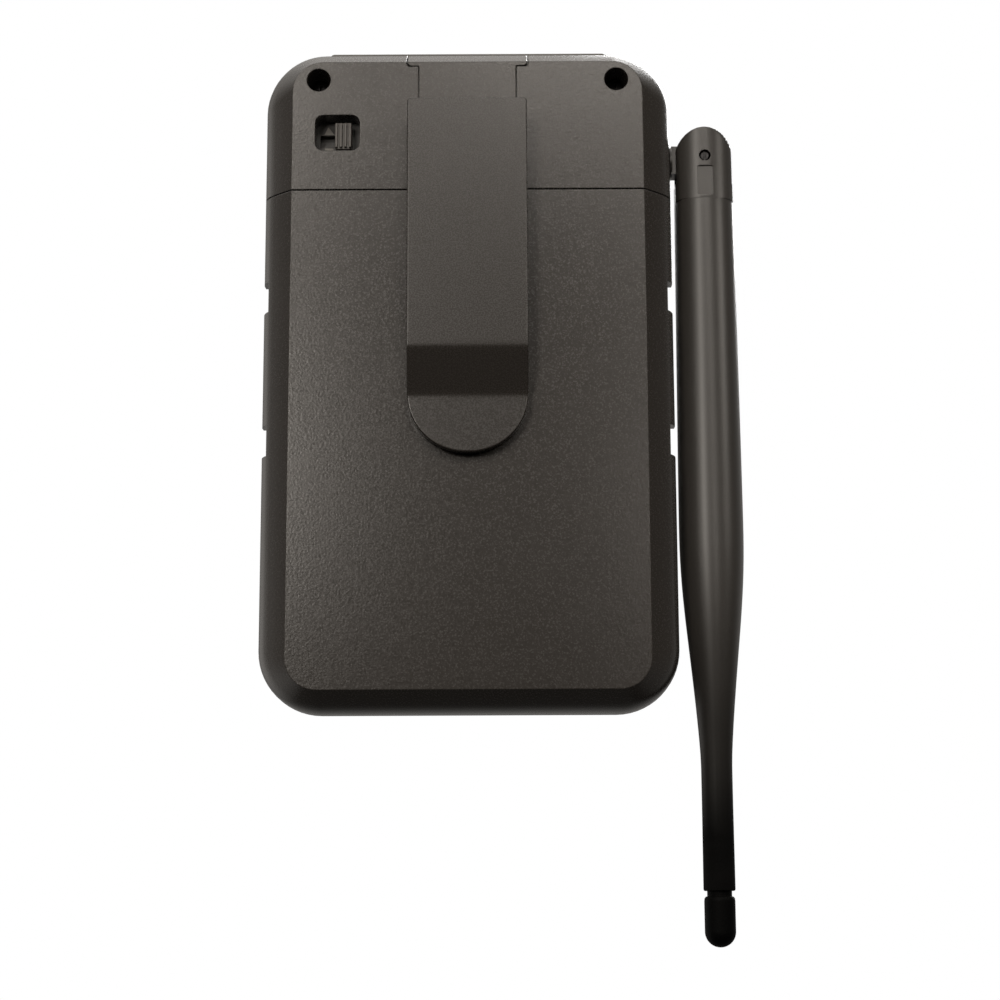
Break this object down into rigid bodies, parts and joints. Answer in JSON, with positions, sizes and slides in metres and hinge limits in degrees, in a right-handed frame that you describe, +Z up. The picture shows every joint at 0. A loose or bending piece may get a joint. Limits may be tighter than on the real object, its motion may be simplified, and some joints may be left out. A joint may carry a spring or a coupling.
{
  "type": "trail camera",
  "caption": "Compact wildlife camera with a belt clip on its back, a slide-off battery cover, a folding side antenna and a lens, motion sensor and infrared window on its front.",
  "frame": {"origin": "centre of the flat base of the case, in the middle of the body's width and depth", "axes": "+Z up along the height; the lens faces -Y and the belt clip and battery cover face +Y; the antenna is on the -X side"},
  "size_m": [0.1036, 0.0533, 0.1951],
  "materials": {
    "shell": "warm dark grey, fine spark-eroded grain",
    "clip_plastic": "warm dark grey, fine grain",
    "antenna_plastic": "near-black satin",
    "inner_plastic": "black, lightly polished",
    "rubber": "soft black",
    "dark_window": "infrared-pass plastic, polished, nearly black",
    "lens_glass": "clear, coated",
    "milky_lens": "milky white polyethylene",
    "board": "green solder mask",
    "led": "dark epoxy",
    "steel": "spring steel",
    "black_screw": "black oxide",
    "nickel": "nickel plated",
    "gold": "gold-coloured plating",
    "cell": "printed wrap on a metal can"
  },
  "bodies": {
    "case": {"rear_housing": "shell", "front_shell": "shell", "battery_tray": "inner_plastic", "memory_card": "inner_plastic", "lens_bezel": "inner_plastic", "lens_barrel": "inner_plastic", "lens_holder": "inner_plastic", "pir_bezel": "inner_plastic", "case_gasket": "rubber", "bay_gasket": "rubber", "antenna_lead": "rubber", "ir_window": "dark_window", "lens_cover": "lens_glass", "lens_element": "lens_glass", "pir_lens": "milky_lens", "light_pipe": "milky_lens", "main_board": "board", "image_sensor": "board", "led_board": "led", "cell_spring_1": "steel", "cell_spring_2": "steel", "cell_spring_3": "steel", "cell_spring_4": "steel", "case_screw_1": "black_screw", "case_screw_2": "black_screw", "case_screw_3": "black_screw", "case_screw_4": "black_screw", "contact_upper_a": "nickel", "contact_upper_b": "nickel", "contact_lower": "nickel", "terminal_negative": "nickel", "terminal_positive": "nickel", "switch_body": "nickel", "antenna_bushing": "nickel", "usb_port": "nickel", "card_socket": "nickel", "processor_shield": "nickel", "radio_module": "gold", "pir_sensor": "gold", "battery_1": "cell", "battery_2": "cell", "battery_3": "cell", "battery_4": "cell", "battery_5": "cell", "battery_6": "cell", "battery_7": "cell", "battery_8": "cell"},
    "cover": {"battery_cover": "shell"},
    "clip_base": {"clip_foot": "shell", "clip_pin": "steel", "clip_spring": "steel"},
    "clip_blade": {"clip_arm": "clip_plastic"},
    "power_knob": {"switch_knob": "inner_plastic"},
    "antenna_base": {"antenna_knuckle": "antenna_plastic", "antenna_pin": "black_screw"},
    "antenna_rod": {"antenna_mast": "antenna_plastic", "antenna_tip": "rubber"},
    "flap": {"port_flap": "rubber"},
    "pairing_button": {"pair_button": "inner_plastic"},
    "filter": {"filter_slider": "inner_plastic"}
  },
  "joints": [
    {"name": "battery_cover_slide", "type": "slide", "parent": "case", "child": "cover", "axis": [0, 0, -1], "range_m": [0, 0.115]},
    {"name": "clip_foot_slide", "type": "slide", "parent": "case", "child": "clip_base", "axis": [0, 0, 1], "range_m": [0, 0.036]},
    {"name": "clip_flex", "type": "hinge", "parent": "clip_base", "child": "clip_blade", "pos_m": [0, 0.0229, 0.1166], "axis": [1, 0, 0], "range_deg": [0, 20], "stiffness_Nm_per_rad": 1, "springref_deg": -17.19},
    {"name": "power_switch_slide", "type": "slide", "parent": "case", "child": "power_knob", "axis": [1, 0, 0], "range_m": [0, 0.0038]},
    {"name": "antenna_swivel", "type": "hinge", "parent": "case", "child": "antenna_base", "pos_m": [-0.046, 0.0034, 0.1212], "axis": [1, 0, 0], "range_deg": [-180, 180]},
    {"name": "antenna_elbow", "type": "hinge", "parent": "antenna_base", "child": "antenna_rod", "pos_m": [-0.0523, 0.0034, 0.1212], "axis": [0, 1, 0], "range_deg": [0, 90]},
    {"name": "port_flap_hinge", "type": "hinge", "parent": "case", "child": "flap", "pos_m": [0, -0.0022, 0.1421], "axis": [1, 0, 0], "range_deg": [0, 90]},
    {"name": "pair_button_press", "type": "slide", "parent": "case", "child": "pairing_button", "axis": [0, 0, -1], "range_m": [0, 0.0008], "stiffness_N_per_m": 1200, "springref_m": -0.0005},
    {"name": "filter_slide", "type": "slide", "parent": "case", "child": "filter", "axis": [1, 0, 0], "range_m": [0, 0.008]}
  ]
}
